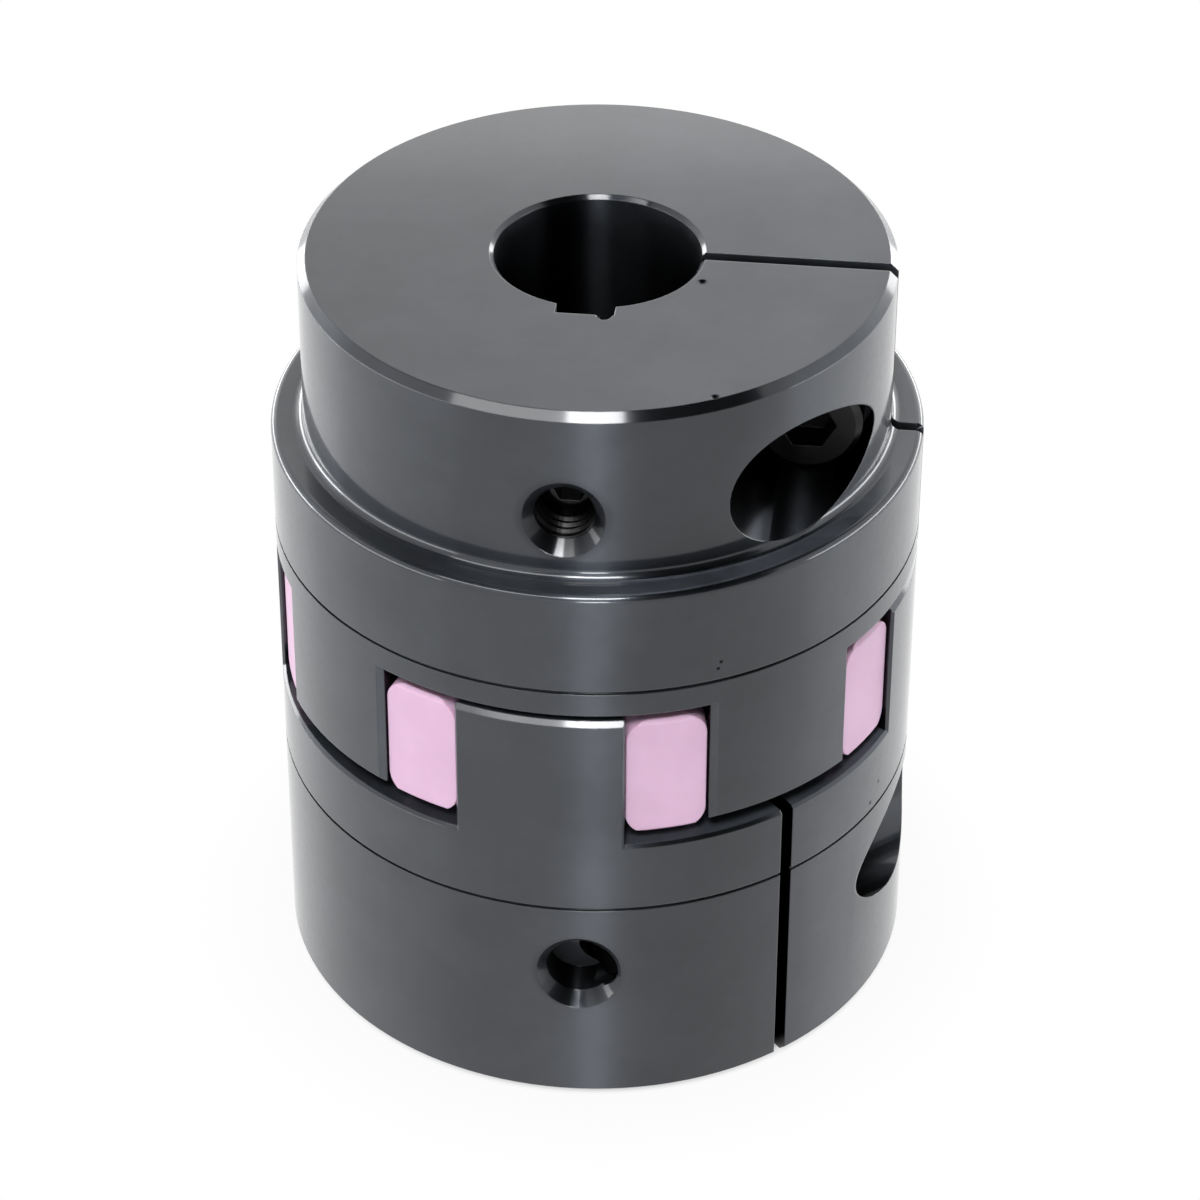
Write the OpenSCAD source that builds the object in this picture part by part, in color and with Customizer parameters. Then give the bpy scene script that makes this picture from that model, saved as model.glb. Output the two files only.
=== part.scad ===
// Elastic jaw coupling for two shafts: two slit clamping hubs with interlocking
// jaws, an eight-legged elastic spider between them, and the screws of each hub.
// Millimetres. The coupling stands on the end face of its lower hub, with the shaft
// axis along +Z and the slit of the upper hub along +X.

/* [Shaft fit] */
// Diameter of both shaft bores
bore_d = 25; // [16:0.5:30]
// Width of the keyway
key_w = 7; // [5:0.5:10]
// Depth of the keyway floor beyond the bore wall
key_depth = 2; // [1.5:0.1:4]
// Chamfer at both ends of a bore
bore_chamfer = 0.5; // [0.2:0.1:1.5]

/* [Hubs] */
// Diameter of the lower hub and of the flange and jaws
hub_d = 80; // [78:1:100]
// Step from the boss out to the flange
flange_step = 4; // [2:0.5:7]
// Length of the upper hub from its end face to the face between its jaws
upper_hub_len = 40; // [34:0.5:60]
// Length of the lower hub from its end face to the face between its jaws
lower_hub_len = 40; // [34:0.5:60]
// Length of the boss, from the end face to the flange
boss_len = 22.5; // [20:0.5:30]
// Fillet between the boss and the flange
boss_fillet = 1.2; // [0.5:0.1:3]
// Rounding of the flange's edge
flange_round = 0.9; // [0.3:0.1:1.5]
// Chamfer of the outer edge of an end face
edge_chamfer = 1; // [0.3:0.1:2]
// Chamfer of the outer edge of a face between the jaws
face_chamfer = 0.4; // [0.1:0.1:1]
// Width of the clamping slit
slit_w = 1.7; // [1:0.1:4]

/* [Turned lines] */
// Width of the fine line turned round each hub
line_w = 0.45; // [0.2:0.05:1]
// Depth of the turned line
line_depth = 0.3; // [0.1:0.05:0.8]
// Distance of the upper hub's line from the face between its jaws
upper_line_from_face = 3.7; // [1:0.1:10]
// Distance of the lower hub's line from the face between its jaws
lower_line_from_face = 9.8; // [1:0.1:20]

/* [Jaws] */
// Jaws on each hub
jaw_count = 4; // [3:1:5]
// Distance between the facing hub faces
hub_gap = 19.5; // [14:0.5:30]
// Clearance between the lower jaws' tips and the upper hub
lower_tip_gap = 0.8; // [0.3:0.1:3]
// Clearance between the upper jaws' tips and the lower hub
upper_tip_gap = 2.2; // [0.3:0.1:4]
// Diameter inside the jaws
jaw_inner_d = 49.5; // [46:0.5:56]
// Chamfer round the tip of a jaw
jaw_chamfer = 0.6; // [0.2:0.1:1.5]
// Chamfer along the outer edges of the upper jaws' flanks
upper_flank_chamfer = 0.9; // [0.2:0.1:1.2]
// Chamfer along the outer edges of the lower jaws' flanks
lower_flank_chamfer = 0.4; // [0.2:0.1:1.2]
// Width of the slot between two neighbouring jaws, at its widest
slot_w = 11.2; // [9:0.1:13]
// Radius of the hollow in a jaw's flank
flank_hollow_r = 60; // [45:1:120]
// Angle from the upper hub's slit to its nearest jaw
upper_jaw_angle = 48.9; // [40:0.1:50]
// Angle from the lower hub's slit to its nearest jaw
lower_jaw_angle = 44.3; // [40:0.1:50]

/* [Spider] */
// Clearance on each flank of a spider leg
leg_play = 0.1; // [0.05:0.05:0.5]
// Radius of the crown on a leg's flank
leg_crown_r = 36; // [19:0.5:45]
// How far a leg's end stays inside the jaws' outer surface
leg_recess = 0.8; // [0.2:0.1:3]
// Rounding of a leg's long edges
leg_edge = 2.8; // [0.4:0.1:3.5]
// Chamfer of a leg's outer end
leg_end_chamfer = 0.5; // [0.2:0.1:2]
// Clearance between the spider's ring and the inside of the jaws
ring_play = 0.75; // [0.3:0.05:2]
// How far the ring's faces stay inside those of the legs
ring_inset = 0.8; // [0.3:0.1:3]
// Diameter of the hole through the spider
spider_bore_d = 38; // [32:0.5:42]
// Clearance above the spider
spider_top_gap = 1.4; // [0.1:0.1:3]
// Clearance below the spider
spider_bottom_gap = 1.3; // [0.1:0.1:4]

/* [Clamp screws] */
// Thread diameter of the clamp screws
screw_d = 8; // [6:1:8]
// Depth of the threads that a plain hole and a plain shank stand in for
thread_depth = 0.4; // [0.2:0.05:0.6]
// Clearance round a screw in its threaded hole
thread_play = 0.05; // [0.02:0.01:0.2]
// Least length of a clamp screw's threaded hole beyond the screw's end
thread_runout = 0.5; // [0.2:0.1:2]
// Diameter of the relief in which that threaded hole comes out
relief_d = 8; // [7:0.1:9]
// Depth of the relief
relief_depth = 6; // [4:0.5:8]
// Clearance round a clamp screw in its plain hole
plain_hole_play = 0.5; // [0.3:0.1:0.7]
// Length of a clamp screw under its head
screw_len = 25; // [20:1:32]
// Diameter of a clamp screw's head
head_d = 13; // [10:0.5:14]
// Height of a clamp screw's head
head_h = 8; // [5:0.5:9]
// Width across the flats of the head's socket
head_socket_w = 6; // [4:1:7]
// Depth of the head's socket
head_socket_depth = 4; // [2:0.5:5]
// Clearance round a clamp screw's head in its pocket
head_play = 1.25; // [0.5:0.05:1.5]
// Distance from the middle of the slit to the head's seat
seat_from_slit = 5; // [4:0.5:9]
// Distance of the upper clamp screw's axis from the boss's outer surface
upper_edge_dist = 9.5; // [9:0.25:12]
// Distance of the lower clamp screw's axis from the lower hub's outer surface
lower_edge_dist = 10; // [9:0.25:12]
// Height of the upper hub's screws from its end face
upper_screw_height = 14.5; // [11:0.1:20]
// Height of the lower hub's screws from its end face
lower_screw_height = 20; // [11:0.1:24]

/* [Set screws] */
// Thread diameter of the set screws
set_d = 8; // [5:1:8]
// Length of a set screw
set_len = 12; // [6:1:16]
// Width across the flats of a set screw's socket
set_socket_w = 4; // [2:0.5:4]
// Depth of a set screw's socket
set_socket_depth = 4; // [2:0.5:5]
// Distance of a set screw's point from the keyway floor
set_point_gap = 2.4; // [0:0.1:5]
// Width of the countersink round a threaded hole, beyond its wall
countersink_w = 1.6; // [0.4:0.1:2.5]

/* [Wear] */
// Radius of the chip at the mouth of the upper keyway
chip_r = 1; // [0.2:0.1:2]
// Depth of the chip
chip_depth = 0.7; // [0.1:0.1:1.5]
// Distance of the chip from the middle of the keyway
chip_offset = 2.3; // [0:0.1:3]
// Radius of the two dents in the upper end face
dent_r = 0.5; // [0.1:0.1:1]
// Depth of the dents
dent_depth = 0.2; // [0.05:0.05:0.5]
// Distance of the first dent from the bore wall
bore_dent_dist = 1.8; // [1:0.1:4]
// Angle of the first dent from the slit
bore_dent_angle = 24; // [10:1:60]
// Distance of the second dent from the boss's outer surface
rim_dent_dist = 1.4; // [0.5:0.1:4]
// Angle of the second dent from the slit
rim_dent_angle = 61; // [10:1:80]

/* [Hidden] */
$fn = 96;

// Length by which a cut runs past the surface it opens
overcut = 1;
// Depth to which a jaw's root is sunk into its hub
jaw_root = 2;
hex_sides = 6;

bore_r = bore_d / 2;
hub_r = hub_d / 2;
boss_r = hub_r - flange_step;
key_floor_r = bore_r + key_depth;
jaw_inner_r = jaw_inner_d / 2;
leg_count = 2 * jaw_count;
leg_pitch = 360 / leg_count;
slot_mid_r = (jaw_inner_r + hub_r) / 2;
leg_w = slot_w - 2 * leg_play;
tapped_d = screw_d - 2 * thread_depth;
set_tapped_d = set_d - 2 * thread_depth;
leg_end_r = hub_r - leg_recess;
ring_r = jaw_inner_r - ring_play;
upper_jaw_len = hub_gap - upper_tip_gap;
lower_jaw_len = hub_gap - lower_tip_gap;
spider_t = hub_gap - spider_top_gap - spider_bottom_gap;
spider_z = lower_hub_len + spider_bottom_gap;
total_len = lower_hub_len + hub_gap + upper_hub_len;

// The jaws of one hub stand half a jaw pitch from those of the other, seen in the
// part's frame, where the upper hub is turned over about its own slit.
lower_slit_angle = leg_pitch - upper_jaw_angle - lower_jaw_angle;
first_leg_angle = lower_slit_angle + lower_jaw_angle + leg_pitch / 2;

// Angle from a leg's axis to the edge where a jaw's flank meets the outer surface
flank_centre_y = flank_hollow_r - slot_w / 2;
flank_centre_dist = norm([slot_mid_r, flank_centre_y]);
flank_edge_angle = acos((pow(hub_r, 2) + pow(flank_centre_dist, 2) - pow(flank_hollow_r, 2))
                        / (2 * hub_r * flank_centre_dist)) - atan2(flank_centre_y, slot_mid_r);

hub_colour = "#2c2e31";
spider_colour = "#d9b4d2";
clamp_screw_colour = "#1f2022";
set_screw_colour = "#37393d";

// Flat shapes, with x as the radius where they are turned

// The corner left beside a quarter circle, with the corner at the origin
module corner_patch(r) {
    difference() {
        square(r);
        translate([r, r]) circle(r);
    }
}

// A square on its point, which cuts a chamfer of width c at a corner
module chamfer_cut(c) {
    rotate(45) square(c * sqrt(2), center = true);
}

// The fine line turned into a surface of radius r, at height z
module line_cut(r, z) {
    translate([r - line_depth, z - line_w / 2]) square([2 * line_depth, line_w]);
}

// A lens as wide as w, made of two arcs of radius r and centred at slot_mid_r
module lens(w, r) {
    translate([slot_mid_r, 0]) intersection() {
        translate([0, r - w / 2]) circle(r, $fn = 180);
        translate([0, w / 2 - r]) circle(r, $fn = 180);
    }
}

// Hubs are drawn with the end face at z = 0, the jaws towards +Z and the slit along
// +X. The keyway, the set screw and the clamp screw's head are on the +Y side.

module upper_section() {
    fillet = min(boss_fillet, flange_step - flange_round);
    difference() {
        union() {
            translate([bore_r, 0]) square([boss_r - bore_r, upper_hub_len]);
            translate([bore_r, boss_len]) square([hub_r - bore_r, upper_hub_len - boss_len]);
            translate([boss_r, boss_len]) mirror([0, 1]) corner_patch(fillet);
        }
        translate([boss_r, 0]) chamfer_cut(edge_chamfer);
        translate([hub_r, boss_len]) mirror([1, 0]) corner_patch(flange_round);
        line_cut(hub_r, upper_hub_len - upper_line_from_face);
        translate([hub_r, upper_hub_len]) chamfer_cut(face_chamfer);
        bore_chamfer_cuts(upper_hub_len);
    }
}

module lower_section() {
    difference() {
        translate([bore_r, 0]) square([hub_r - bore_r, lower_hub_len]);
        translate([hub_r, 0]) chamfer_cut(edge_chamfer);
        line_cut(hub_r, lower_hub_len - lower_line_from_face);
        translate([hub_r, lower_hub_len]) chamfer_cut(face_chamfer);
        bore_chamfer_cuts(lower_hub_len);
    }
}

module bore_chamfer_cuts(len) {
    for (z = [0, len]) translate([bore_r, z]) chamfer_cut(bore_chamfer);
}

// A jaw's plan: the wedge between two leg axes, less the two hollow slots and the
// chamfers of its outer edges
module jaw_plan(flank_chamfer) {
    reach = 2 * hub_r;
    difference() {
        polygon([[0, 0],
                 [reach, -reach * tan(leg_pitch / 2)],
                 [reach, reach * tan(leg_pitch / 2)]]);
        for (side = [-1, 1]) {
            rotate(side * leg_pitch / 2) lens(slot_w, flank_hollow_r);
            rotate(side * (leg_pitch / 2 - flank_edge_angle)) translate([hub_r, 0]) chamfer_cut(flank_chamfer);
        }
    }
}

module jaw_ring(len, jaw_len) {
    tip = len + jaw_len;
    rotate_extrude() difference() {
        translate([jaw_inner_r, len - jaw_root]) square([hub_r - jaw_inner_r, jaw_root + jaw_len]);
        for (r = [jaw_inner_r, hub_r]) translate([r, tip]) chamfer_cut(jaw_chamfer);
    }
}

module jaws(len, jaw_len, jaw_angle, flank_chamfer) {
    intersection() {
        jaw_ring(len, jaw_len);
        for (i = [0 : jaw_count - 1])
            rotate([0, 0, jaw_angle + 2 * i * leg_pitch])
                translate([0, 0, len - overcut])
                    linear_extrude(jaw_len + 2 * overcut) jaw_plan(flank_chamfer);
    }
}

module keyway_cut(len) {
    translate([-key_w / 2, 0, -overcut]) cube([key_w, key_floor_r, len + 2 * overcut]);
}

module slit_cut(len) {
    translate([0, -slit_w / 2, -overcut]) cube([hub_r + overcut, slit_w, len + 2 * overcut]);
}

// A countersink at a threaded hole's mouth, square to the hub's surface
module countersink(d, angle, outer_r, height) {
    rotate([0, 0, angle])
        translate([outer_r - countersink_w, 0, height])
            rotate([0, 90, 0])
                cylinder(h = countersink_w + overcut, r1 = d / 2, r2 = d / 2 + countersink_w + overcut);
}

// The plain hole, head pocket and threaded hole of a clamp screw. The threaded hole
// comes out in a relief square to the hub's surface.
module clamp_cuts(outer_r, edge_dist, height) {
    axis_x = outer_r - edge_dist;
    relief_angle = -acos(axis_x / (outer_r - countersink_w));
    thread_end = max(screw_len - seat_from_slit + thread_runout,
                     sqrt(pow(outer_r - relief_depth / 2, 2) - pow(axis_x, 2)));
    translate([axis_x, 0, height]) {
        rotate([-90, 0, 0]) cylinder(h = seat_from_slit + overcut, d = screw_d + 2 * plain_hole_play);
        translate([0, seat_from_slit, 0])
            rotate([-90, 0, 0]) cylinder(h = outer_r, d = head_d + 2 * head_play);
        rotate([90, 0, 0]) cylinder(h = thread_end, d = tapped_d);
    }
    rotate([0, 0, relief_angle])
        translate([outer_r - relief_depth, 0, height])
            rotate([0, 90, 0]) cylinder(h = relief_depth + overcut, d = relief_d);
    countersink(relief_d, relief_angle, outer_r, height);
}

// The threaded hole of a set screw, from the keyway out
module set_screw_cuts(outer_r, height) {
    translate([0, 0, height]) rotate([-90, 0, 0]) cylinder(h = outer_r + overcut, d = set_tapped_d);
    countersink(set_tapped_d, 90, outer_r, height);
}

// A pit in an end face
module pit(r, depth) {
    translate([0, 0, -depth]) cylinder(h = 2 * depth, r1 = 1.75 * r, r2 = r / 4);
}

// The chip and dents of the upper hub's end face
module wear_cuts() {
    translate([chip_offset, key_floor_r, 0]) pit(chip_r, chip_depth);
    rotate([0, 0, bore_dent_angle]) translate([bore_r + bore_dent_dist, 0, 0]) pit(dent_r, dent_depth);
    rotate([0, 0, rim_dent_angle]) translate([boss_r - rim_dent_dist, 0, 0]) pit(dent_r, dent_depth);
}

// The cuts that both hubs have
module hub_cuts(len, outer_r, edge_dist, height) {
    keyway_cut(len);
    slit_cut(len);
    clamp_cuts(outer_r, edge_dist, height);
    set_screw_cuts(outer_r, height);
}

// A socket head screw in its hub
module clamp_screw(outer_r, edge_dist, height) {
    shank_r = tapped_d / 2 - thread_play;
    bevel = screw_d / 10;
    translate([outer_r - edge_dist, seat_from_slit, height])
        rotate([-90, 0, 0])
            difference() {
                union() {
                    rotate_extrude() difference() {
                        square([head_d / 2, head_h]);
                        translate([head_d / 2, head_h]) chamfer_cut(bevel);
                    }
                    rotate_extrude() difference() {
                        translate([0, -screw_len]) square([shank_r, screw_len]);
                        translate([shank_r, -screw_len]) chamfer_cut(bevel);
                    }
                }
                translate([0, 0, head_h - head_socket_depth])
                    hex_hole(head_socket_w, head_socket_depth + overcut);
            }
}

// A headless screw that presses on the key, with its point just outside the keyway
module set_screw(height) {
    body_r = set_tapped_d / 2 - thread_play;
    bevel = set_d / 8;
    translate([0, key_floor_r + set_point_gap, height])
        rotate([-90, 0, 0])
            difference() {
                rotate_extrude() difference() {
                    square([body_r, set_len]);
                    translate([body_r, 0]) chamfer_cut(2 * bevel);
                    translate([body_r, set_len]) chamfer_cut(bevel);
                }
                translate([0, 0, set_len - set_socket_depth])
                    hex_hole(set_socket_w, set_socket_depth + overcut);
            }
}

module hex_hole(width, depth) {
    cylinder(h = depth, d = width / cos(180 / hex_sides), $fn = hex_sides);
}

// A disc with rounded rims
module rounded_disc(r, t, edge) {
    rotate_extrude() {
        square([r - edge, t]);
        translate([0, edge]) square([r, t - 2 * edge]);
        for (z = [edge, t - edge]) translate([r - edge, z]) circle(edge);
    }
}

// A disc with chamfered rims
module chamfered_disc(r, t, c) {
    rotate_extrude() difference() {
        square([r, t]);
        for (z = [0, t]) translate([r, z]) chamfer_cut(c);
    }
}

// A crowned leg along +X: two discs meet in a lens, and a third ends it
module spider_leg() {
    crown_y = leg_crown_r - leg_w / 2;
    intersection() {
        translate([slot_mid_r, crown_y, 0]) rounded_disc(leg_crown_r, spider_t, leg_edge);
        translate([slot_mid_r, -crown_y, 0]) rounded_disc(leg_crown_r, spider_t, leg_edge);
        chamfered_disc(leg_end_r, spider_t, leg_end_chamfer);
    }
}

// Places in the part's frame

module in_upper_hub() {
    translate([0, 0, total_len]) rotate([180, 0, 0]) children();
}

module in_lower_hub() {
    rotate([0, 0, lower_slit_angle]) children();
}

// Sub-parts

module upper_hub() {
    color(hub_colour) in_upper_hub() difference() {
        union() {
            rotate_extrude() upper_section();
            jaws(upper_hub_len, upper_jaw_len, upper_jaw_angle, upper_flank_chamfer);
        }
        hub_cuts(upper_hub_len, boss_r, upper_edge_dist, upper_screw_height);
        wear_cuts();
    }
}

module lower_hub() {
    color(hub_colour) in_lower_hub() difference() {
        union() {
            rotate_extrude() lower_section();
            jaws(lower_hub_len, lower_jaw_len, lower_jaw_angle, lower_flank_chamfer);
        }
        hub_cuts(lower_hub_len, hub_r, lower_edge_dist, lower_screw_height);
    }
}

module spider() {
    color(spider_colour) translate([0, 0, spider_z]) difference() {
        union() {
            translate([0, 0, ring_inset]) cylinder(h = spider_t - 2 * ring_inset, r = ring_r);
            for (i = [0 : leg_count - 1])
                rotate([0, 0, first_leg_angle + i * leg_pitch]) spider_leg();
        }
        translate([0, 0, -overcut]) cylinder(h = spider_t + 2 * overcut, d = spider_bore_d);
    }
}

module upper_clamp_screw() {
    color(clamp_screw_colour) in_upper_hub() clamp_screw(boss_r, upper_edge_dist, upper_screw_height);
}

module lower_clamp_screw() {
    color(clamp_screw_colour) in_lower_hub() clamp_screw(hub_r, lower_edge_dist, lower_screw_height);
}

module upper_set_screw() {
    color(set_screw_colour) in_upper_hub() set_screw(upper_screw_height);
}

module lower_set_screw() {
    color(set_screw_colour) in_lower_hub() set_screw(lower_screw_height);
}

upper_hub();
lower_hub();
spider();
upper_clamp_screw();
lower_clamp_screw();
upper_set_screw();
lower_set_screw();
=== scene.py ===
"""Looks of the jaw coupling: black oxide steel, a lilac elastomer spider and fine threads."""
import math

import bmesh
import bpy
from mathutils import Matrix, Vector


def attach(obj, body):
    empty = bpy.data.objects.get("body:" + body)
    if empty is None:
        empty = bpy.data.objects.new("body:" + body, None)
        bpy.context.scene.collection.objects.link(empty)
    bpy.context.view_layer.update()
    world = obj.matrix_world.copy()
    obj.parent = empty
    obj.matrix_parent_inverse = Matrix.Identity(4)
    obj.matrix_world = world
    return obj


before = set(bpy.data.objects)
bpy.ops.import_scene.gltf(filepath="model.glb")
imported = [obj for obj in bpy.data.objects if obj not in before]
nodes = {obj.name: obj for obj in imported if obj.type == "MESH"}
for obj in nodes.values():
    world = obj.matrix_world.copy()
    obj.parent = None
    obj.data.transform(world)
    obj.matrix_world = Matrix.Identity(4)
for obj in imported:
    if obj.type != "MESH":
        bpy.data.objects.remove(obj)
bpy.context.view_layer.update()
scene = bpy.context.scene
MM = 0.001

# Camera, fitted to the photograph's circles: millimetres in the part's frame, degrees, and radians for the roll
CAMERA_AZIMUTH = 6.2
CAMERA_BACK = 444.1
CAMERA_HEIGHT = 370.9
AIM_SIDE = 0.4
AIM_HEIGHT = 47.7
CAMERA_ROLL = 0.0033
SENSOR_MM = 36.0
FOCAL_PIXELS = 4340.0
IMAGE_PIXELS = 1200.0

# Hubs, in millimetres and degrees
BOSS_R = 36.0
HUB_R = 40.0
FLANGE_TOP_Z = 77.0
FLANGE_ROUND = 0.9
BOSS_FILLET = 1.2
ROUND_MARGIN = 0.01
UPPER_SCREW_Z = 85.0
LOWER_SCREW_Z = 20.0
LOWER_SLIT_ANGLE = -48.2
SET_SCREW_END_R = 28.9
COUNTERSINK = 1.6

# Thread ridges in the set screws' holes, in millimetres
THREAD_PITCH = 1.25
THREAD_WALL_R = 3.6
THREAD_CREST_R = 3.25
THREAD_START = 0.6
THREAD_RUNOUT = 0.6
THREAD_ROOT = 0.05
THREAD_STEPS = 40
THREAD_HALF_SHARE = 0.45
THREAD_CREST_SHARE = 0.2
THREAD_LEAST_FADE = 0.05

# Black oxide: linear colours, and lengths in millimetres
OXIDE_DARK = (0.031, 0.035, 0.042, 1)
OXIDE_PALE = (0.043, 0.048, 0.057, 1)
# Near black: painted shade in the pockets, holes, gaps and hole mouths, and the dark marks at the dents and
# specks
PAINTED_SHADE_AND_GRIME = (0.004, 0.004, 0.004, 1)
# How far the ambient occlusion reaches, which sets the painted shade in the hollows
PAINTED_SHADE_REACH = 30.0
OXIDE_EDGE = 0.2
TURNING_DEPTH = 0.02
END_FACE_COSINE = 0.9

# Darkened spots: painted shade round the two hole mouths, which dims the countersinks' glint, then dark marks
# at two dents and four specks: distance from the axis, azimuth, height and size
MOUTH_SHADE_AND_STAINS = (
    (35.5, -90.0, 85.0, 6.0),
    (39.5, -87.0, 20.0, 6.0),
    (14.3, -24.0, 99.4, 0.75),
    (34.6, -61.0, 99.4, 0.6),
    (40.0, -62.4, 65.9, 0.3),
    (40.0, -62.9, 65.0, 0.3),
    (40.0, -22.0, 33.6, 0.3),
    (40.0, -25.0, 31.6, 0.35),
)

# Elastomer and screws: linear colours, and lengths in millimetres
LILAC_DARK = (0.67, 0.44, 0.61, 1)
LILAC_PALE = (0.72, 0.48, 0.66, 1)
LILAC_EDGE = 0.3
LILAC_GRAIN_DEPTH = 0.05
LILAC_SCATTER = 1.5
# Painted shade: the clamp screws are darker than the hubs' oxide, for the shade deep in their pockets
CLAMP_SCREW_PAINTED_SHADE = 0.025
# Painted light: the set screws are lighter than their oxide, for the lit edges of their hex sockets
SET_SCREW_PAINTED_LIGHT = 0.12
# Painted shade: the threads are the hubs' steel, painted darker for the shade inside the holes
THREAD_PAINTED_SHADE = 0.02
SCREW_EDGE = 0.15
SCREW_DARK_SHARE = 0.8

# Floor, with its half size in metres and the reach of its shadow in millimetres
FLOOR_HALF = 4.0
FLOOR_COLOUR = (0.6, 0.6, 0.6, 1)
SHADOW_INNER = 37.0
SHADOW_FOOT = 40.0
SHADOW_END = 55.0
FOOT_WHITE = 0.93

# Studio, in metres: the lamps and cards stand round the object's middle
OBJECT_MIDDLE = 0.05
FILL_STRENGTH = 0.15
WHITE = (1, 1, 1, 1)
CARD_COLOUR = (0.01, 0.01, 0.01, 1)

# Lamps: name, azimuth from the camera, elevation, distance, width, height and the face's brightness
LAMPS = (
    ("front_low", -1, 6, 0.75, 0.12, 0.16, 16.0),
    ("front_high", -1, 54, 0.75, 0.19, 0.22, 22.0),
    ("key_box", -34, 52, 0.8, 0.55, 0.17, 6.0),
    ("left_box", -85, 5, 0.7, 1.0, 0.16, 5.2),
    ("left_rim", -130, 5, 0.7, 0.75, 0.16, 6.2),
    ("right_box", 95, 5, 0.7, 0.65, 0.16, 7.6),
    ("right_rim", 140, 5, 0.7, 0.5, 0.16, 5.4),
    ("back_box", 180, 18.4, 0.8, 1.0, 0.4, 1.4),
    ("back_sky", 180, 46, 0.85, 1.0, 0.5, 0.35),
)

# Black cards: name, azimuth from the camera, elevation, distance, width and height
CARDS = (
    ("front_card", 22, 35, 1.1, 1.5, 1.1),
    ("ceiling_card", 0, 90, 0.85, 1.3, 1.3),
)


def polar(radius, degrees, z):
    angle = math.radians(degrees)
    return Vector((radius * math.cos(angle), radius * math.sin(angle), z))


def add_object(name, data):
    made = bpy.data.objects.new(name, data)
    scene.collection.objects.link(made)
    return made


def add_plane(name, half):
    mesh = bmesh.new()
    bmesh.ops.create_grid(mesh, x_segments=1, y_segments=1, size=half)
    data = bpy.data.meshes.new(name)
    mesh.to_mesh(data)
    mesh.free()
    return add_object(name, data)


def add_camera():
    turn = Matrix.Rotation(math.radians(CAMERA_AZIMUTH), 4, "Z")
    place = turn @ (Vector((0, -CAMERA_BACK, CAMERA_HEIGHT)) * MM)
    aim = turn @ (Vector((AIM_SIDE, 0, AIM_HEIGHT)) * MM)
    data = bpy.data.cameras.new("camera")
    data.sensor_width = SENSOR_MM
    data.lens = FOCAL_PIXELS / IMAGE_PIXELS * SENSOR_MM
    camera = add_object("camera", data)
    look = (aim - place).to_track_quat("-Z", "Y").to_matrix().to_4x4()
    camera.matrix_world = Matrix.Translation(place) @ look @ Matrix.Rotation(CAMERA_ROLL, 4, "Z")
    scene.camera = camera


# Materials


class Tree:
    """A small helper that adds nodes to a new material or world."""

    def __init__(self, owner, shader="Principled BSDF"):
        owner.use_nodes = True
        self.owner = owner
        self.nodes = owner.node_tree.nodes
        self.links = owner.node_tree.links
        self.shader = self.nodes[shader]

    def node(self, kind, inputs=None, **settings):
        made = self.nodes.new(kind)
        for key, value in settings.items():
            setattr(made, key, value)
        for key, value in (inputs or {}).items():
            self.feed(made.inputs[key], value)
        return made

    def feed(self, socket, value):
        if isinstance(value, bpy.types.NodeSocket):
            self.links.new(value, socket)
        else:
            socket.default_value = value

    def math(self, operation, a, b=0.0):
        return self.node("ShaderNodeMath", {0: a, 1: b}, operation=operation).outputs[0]

    def vector(self, operation, inputs, output=0):
        return self.node("ShaderNodeVectorMath", inputs, operation=operation).outputs[output]

    def ramp(self, value, low, high, to_low, to_high):
        made = self.node("ShaderNodeMapRange", {0: value, 1: low, 2: high, 3: to_low, 4: to_high})
        return made.outputs[0]

    def noise(self, vector, scale, detail=3.0, roughness=0.55):
        made = self.node("ShaderNodeTexNoise", {"Vector": vector, "Scale": scale, "Detail": detail,
                                                "Roughness": roughness})
        return made.outputs["Fac"]

    def mix_colours(self, share, first, second):
        return self.node("ShaderNodeMix", {0: share, 6: first, 7: second}, data_type="RGBA").outputs[2]

    def mix_vectors(self, share, first, second):
        return self.node("ShaderNodeMix", {0: share, 4: first, 5: second}, data_type="VECTOR").outputs[1]

    def position(self):
        return self.node("ShaderNodeTexCoord").outputs["Object"]

    def bevel(self, radius):
        return self.node("ShaderNodeBevel", {"Radius": radius * MM}, samples=4).outputs[0]

    def bump(self, strength, depth, height, normal):
        return self.node("ShaderNodeBump", {"Strength": strength, "Distance": depth * MM,
                                            "Height": height, "Normal": normal}).outputs[0]

    def seen_ray(self):
        """1 for a ray that shows the background: straight, mirrored or through glass."""
        path = self.node("ShaderNodeLightPath").outputs
        bounced = self.math("MAXIMUM", path["Is Glossy Ray"], path["Is Transmission Ray"])
        return self.math("MAXIMUM", path["Is Camera Ray"], bounced)

    def set(self, **values):
        for key, value in values.items():
            self.feed(self.shader.inputs[key.replace("_", " ")], value)


def new_tree(name):
    return Tree(bpy.data.materials.new(name))


def turned_round(tree, across, radius, height, normal, centre_r, centre_z, size):
    """The normal with its exact value on a turned rounding, which the mesh only samples.

    The size is the rounding's radius, and is negative for a hollow one.
    """
    sign = math.copysign(1.0, size)
    out = tree.math("MULTIPLY", tree.math("SUBTRACT", radius, centre_r * MM), sign)
    up = tree.math("MULTIPLY", tree.math("SUBTRACT", height, centre_z * MM), sign)
    outward = tree.vector("NORMALIZE", {0: across})
    side = tree.vector("SCALE", {0: outward, "Scale": out})
    rise = tree.node("ShaderNodeCombineXYZ", {2: up}).outputs[0]
    exact = tree.vector("NORMALIZE", {0: tree.vector("ADD", {0: side, 1: rise})})
    limit = (abs(size) + ROUND_MARGIN) * MM
    inside = tree.math("MULTIPLY", tree.math("GREATER_THAN", tree.math("MINIMUM", out, up), 0.0),
                       tree.math("LESS_THAN", tree.math("MAXIMUM", out, up), limit))
    return tree.mix_vectors(inside, normal, exact)


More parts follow.
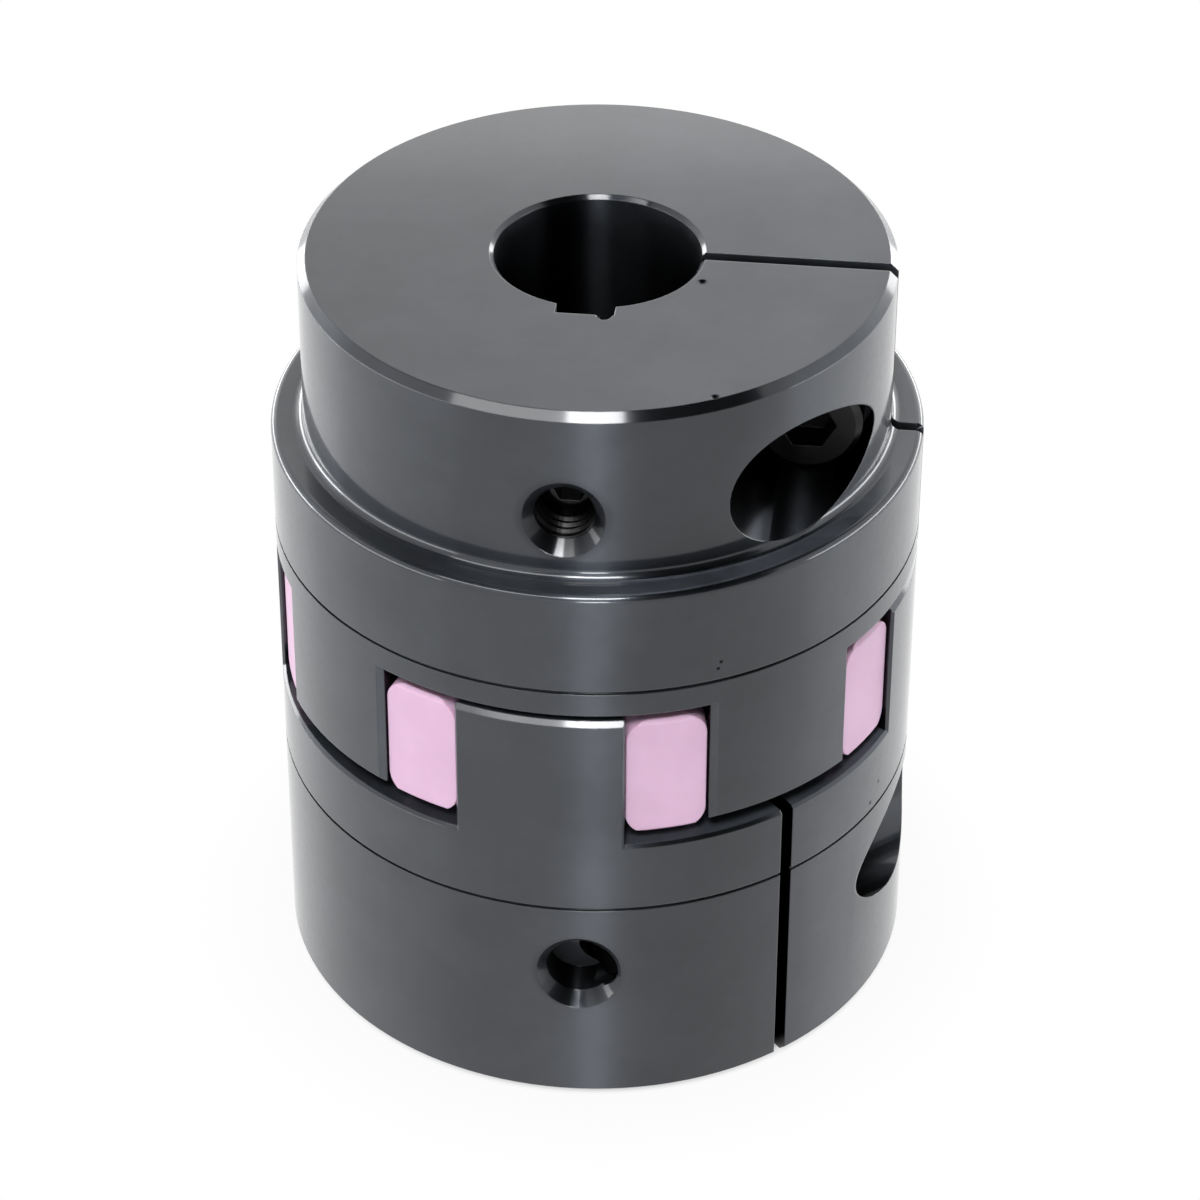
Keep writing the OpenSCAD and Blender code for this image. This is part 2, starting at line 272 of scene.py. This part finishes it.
def unshaded_clean_share(tree, position):
    """1 on open surfaces, and less in the pockets, holes and gaps, where painted shade darkens the colour and
    dims the coat; less too round the hole mouths, where it is painted shade, and at the dents and specks, which
    are dark marks.
    """
    open_share = tree.node("ShaderNodeAmbientOcclusion", {"Distance": PAINTED_SHADE_REACH * MM}, samples=8,
                           only_local=True).outputs["AO"]
    # Painted shade where the ambient occlusion finds the surface closed in
    unshaded_clean = tree.ramp(open_share, 0.3, 0.65, 0.08, 1.0)
    # Painted shade round the hole mouths, and dark marks at the dents and specks
    for reach, angle, rise, size in MOUTH_SHADE_AND_STAINS:
        gap = tree.vector("DISTANCE", {0: position, 1: polar(reach, angle, rise) * MM}, "Value")
        unshaded_clean = tree.math("MINIMUM", unshaded_clean, tree.ramp(gap, size / 2 * MM, size * MM, 0.1, 1.0))
    return unshaded_clean


def machining_marks(tree):
    """The marks' direction: the walls are turned, and the end faces are ground straight."""
    around = tree.node("ShaderNodeTangent", direction_type="RADIAL", axis="Z").outputs[0]
    facing = tree.node("ShaderNodeSeparateXYZ", {0: tree.node("ShaderNodeNewGeometry").outputs["Normal"]})
    ground = tree.math("GREATER_THAN", tree.math("ABSOLUTE", facing.outputs[2]), END_FACE_COSINE)
    return tree.mix_vectors(ground, around, (1, 0, 0))


def black_oxide():
    tree = new_tree("black_oxide")
    position = tree.position()
    height = tree.node("ShaderNodeSeparateXYZ", {0: position}).outputs[2]
    across = tree.vector("MULTIPLY", {0: position, 1: (1, 1, 0)})
    radius = tree.vector("LENGTH", {0: across}, "Value")
    # Turning marks follow the height on the walls and the radius on the faces
    lines = tree.node("ShaderNodeTexNoise", {"W": tree.math("ADD", radius, height), "Scale": 2600.0,
                                             "Detail": 2.0}, noise_dimensions="1D").outputs["Fac"]
    cloud = tree.noise(position, 90.0, 4.0)
    grain = tree.noise(position, 900.0, 2.0)
    unshaded_clean = unshaded_clean_share(tree, position)
    colour = tree.mix_colours(tree.ramp(cloud, 0.35, 0.65, 0.0, 1.0), OXIDE_DARK, OXIDE_PALE)
    # Painted shade darkens the colour in the hollows and round the hole mouths; the dents and specks are dark
    # marks
    shaded_and_marked = tree.mix_colours(unshaded_clean, PAINTED_SHADE_AND_GRIME, colour)
    rough = tree.math("ADD", tree.ramp(cloud, 0.3, 0.7, 0.36, 0.40),
                      tree.ramp(grain, 0.3, 0.7, -0.02, 0.02))
    smooth = turned_round(tree, across, radius, height, tree.bevel(OXIDE_EDGE), HUB_R - FLANGE_ROUND,
                          FLANGE_TOP_Z - FLANGE_ROUND, FLANGE_ROUND)
    smooth = turned_round(tree, across, radius, height, smooth, BOSS_R + BOSS_FILLET,
                          FLANGE_TOP_Z + BOSS_FILLET, -BOSS_FILLET)
    # The painted shade dims the coat's reflection in the same places
    tree.set(Base_Color=shaded_and_marked, Metallic=1.0, Roughness=rough,
             Normal=tree.bump(0.08, TURNING_DEPTH, lines, smooth), Tangent=machining_marks(tree),
             Anisotropic=1.0, Anisotropic_Rotation=0.25, Coat_Weight=unshaded_clean, Coat_Roughness=0.1,
             Coat_IOR=1.5, Coat_Normal=smooth)
    return tree.owner


def elastomer():
    tree = new_tree("lilac_elastomer")
    position = tree.position()
    cloud = tree.noise(position, 120.0, 3.0)
    grain = tree.noise(position, 2500.0, 2.0)
    colour = tree.mix_colours(tree.ramp(cloud, 0.35, 0.65, 0.0, 1.0), LILAC_DARK, LILAC_PALE)
    tree.set(Base_Color=colour, Roughness=0.45, Subsurface_Weight=0.15, Subsurface_Scale=LILAC_SCATTER * MM,
             Normal=tree.bump(0.1, LILAC_GRAIN_DEPTH, grain, tree.bevel(LILAC_EDGE)))
    return tree.owner


def screw_steel(name, shade):
    tree = new_tree(name)
    cloud = tree.noise(tree.position(), 200.0)
    colour = tree.mix_colours(cloud, (*[shade * SCREW_DARK_SHARE] * 3, 1), (*[shade] * 3, 1))
    tree.set(Base_Color=colour, Metallic=1.0, Roughness=tree.ramp(cloud, 0.3, 0.7, 0.3, 0.42),
             Normal=tree.bevel(SCREW_EDGE))
    return tree.owner


def dress(material, *names):
    for name in names:
        nodes[name].data.materials.clear()
        nodes[name].data.materials.append(material)


# Threads: a helical ridge on the wall of each set screw's hole


def thread_ridge(name, inner, outward, length, wall_limit, material):
    """A helical ridge from a screw's end towards the mouth, kept within a radius of the axis."""
    side = outward.cross(Vector((0, 0, 1))).normalized()
    up = side.cross(outward)
    steps = int(length / THREAD_PITCH * THREAD_STEPS)
    mesh = bmesh.new()
    last_ring = None
    for i in range(steps + 1):
        angle = 2 * math.pi * i / THREAD_STEPS
        middle = inner + outward * (THREAD_PITCH * i / THREAD_STEPS)
        out = side * math.cos(angle) + up * math.sin(angle)
        depth = wall_limit - (middle + out * THREAD_WALL_R).to_2d().length
        # The ridge runs out over half a turn at its inner end, and towards the countersink
        fade = min(1.0, (i + 1) / (THREAD_STEPS / 2), depth / THREAD_RUNOUT)
        if fade < THREAD_LEAST_FADE:
            if last_ring:
                mesh.faces.new(list(reversed(last_ring)))
            last_ring = None
            continue
        crest = THREAD_WALL_R - (THREAD_WALL_R - THREAD_CREST_R) * fade
        half = THREAD_HALF_SHARE * THREAD_PITCH * fade
        flat = half * THREAD_CREST_SHARE
        root = THREAD_WALL_R + THREAD_ROOT
        profile = ((root, -half), (crest, -flat), (crest, flat), (root, half))
        ring = [mesh.verts.new((middle + out * r + outward * a) * MM) for r, a in profile]
        if last_ring:
            for k in range(4):
                n = (k + 1) % 4
                mesh.faces.new((last_ring[k], last_ring[n], ring[n], ring[k]))
        else:
            mesh.faces.new(ring)
        last_ring = ring
    if last_ring:
        mesh.faces.new(list(reversed(last_ring)))
    bmesh.ops.recalc_face_normals(mesh, faces=mesh.faces)
    data = bpy.data.meshes.new(name)
    mesh.to_mesh(data)
    mesh.free()
    data.materials.append(material)
    ridge = add_object(name, data)
    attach(ridge, "root")


def add_threads(material):
    for name, outer, angle, z in (("upper_set_thread", BOSS_R, -90, UPPER_SCREW_Z),
                                  ("lower_set_thread", HUB_R, LOWER_SLIT_ANGLE + 90, LOWER_SCREW_Z)):
        inner = polar(SET_SCREW_END_R + THREAD_START, angle, z)
        thread_ridge(name, inner, polar(1, angle, 0), outer - SET_SCREW_END_R, outer - COUNTERSINK, material)


# Stage


def add_floor():
    floor = add_plane("floor", FLOOR_HALF)
    tree = new_tree("pale_floor")
    tree.set(Base_Color=FLOOR_COLOUR, Roughness=0.9, Specular_IOR_Level=0.0)
    white = tree.node("ShaderNodeEmission", {"Color": WHITE, "Strength": 1.0})
    # The floor is plain white, except under and near the object, where it keeps a shadow
    reach = tree.vector("LENGTH", {0: tree.position()}, "Value")
    share = tree.math("MULTIPLY", tree.seen_ray(),
                      tree.ramp(reach, SHADOW_INNER * MM, SHADOW_FOOT * MM, 0.0, FOOT_WHITE))
    share = tree.math("MULTIPLY", share,
                      tree.ramp(reach, SHADOW_FOOT * MM, SHADOW_END * MM, 1.0, 1.0 / FOOT_WHITE))
    mixed = tree.node("ShaderNodeMixShader", {0: share, 1: tree.shader.outputs[0], 2: white.outputs[0]})
    tree.links.new(mixed.outputs[0], tree.nodes["Material Output"].inputs["Surface"])
    floor.data.materials.append(tree.owner)


def add_world():
    scene.world = bpy.data.worlds.new("studio")
    tree = Tree(scene.world, "Background")
    tree.set(Color=WHITE, Strength=tree.ramp(tree.seen_ray(), 0.0, 1.0, FILL_STRENGTH, 1.0))


def place_facing(piece, azimuth, elevation, distance):
    """Stand a lamp or a card at a distance in a direction, with its face to the object.

    The azimuth counts from the camera towards its right.
    """
    turn = math.radians(CAMERA_AZIMUTH - 90 + azimuth)
    rise = math.radians(elevation)
    direction = Vector((math.cos(rise) * math.cos(turn), math.cos(rise) * math.sin(turn), math.sin(rise)))
    piece.location = Vector((0, 0, OBJECT_MIDDLE)) + direction * distance
    piece.rotation_euler = direction.to_track_quat("Z", "Y").to_euler()


def softbox(name, azimuth, elevation, distance, width, height, radiance):
    """A soft rectangular lamp whose face has the given brightness, where 1 is white."""
    data = bpy.data.lights.new(name, "AREA")
    data.shape = "RECTANGLE"
    data.size = width
    data.size_y = height
    data.energy = radiance * math.pi * width * height
    lamp = add_object(name, data)
    place_facing(lamp, azimuth, elevation, distance)
    lamp.visible_camera = False


def dark_card(name, azimuth, elevation, distance, width, height):
    """A black card, whose reflection gives the steel its depth."""
    card = add_plane(name, 0.5)
    card.scale = (width, height, 1.0)
    place_facing(card, azimuth, elevation, distance)
    tree = new_tree(name)
    tree.set(Base_Color=CARD_COLOUR, Roughness=1.0)
    card.data.materials.append(tree.owner)
    card.visible_camera = False


add_camera()
dress(black_oxide(), "upper_hub", "lower_hub")
dress(elastomer(), "spider")
# The clamp screws are painted darker, as shade deep in the pockets
dress(screw_steel("clamp_screw_oxide_painted_shade", CLAMP_SCREW_PAINTED_SHADE), "upper_clamp_screw", "lower_clamp_screw")
# The set screws are painted lighter, for the lit edges of their sockets
dress(screw_steel("set_screw_oxide_painted_light", SET_SCREW_PAINTED_LIGHT), "upper_set_screw", "lower_set_screw")
# The thread ridges are painted darker, as shade inside the holes
add_threads(screw_steel("thread_oxide_painted_shade", THREAD_PAINTED_SHADE))
add_floor()
add_world()
for lamp_row in LAMPS:
    softbox(*lamp_row)
for card_row in CARDS:
    dark_card(*card_row)
scene.view_settings.view_transform = "Standard"
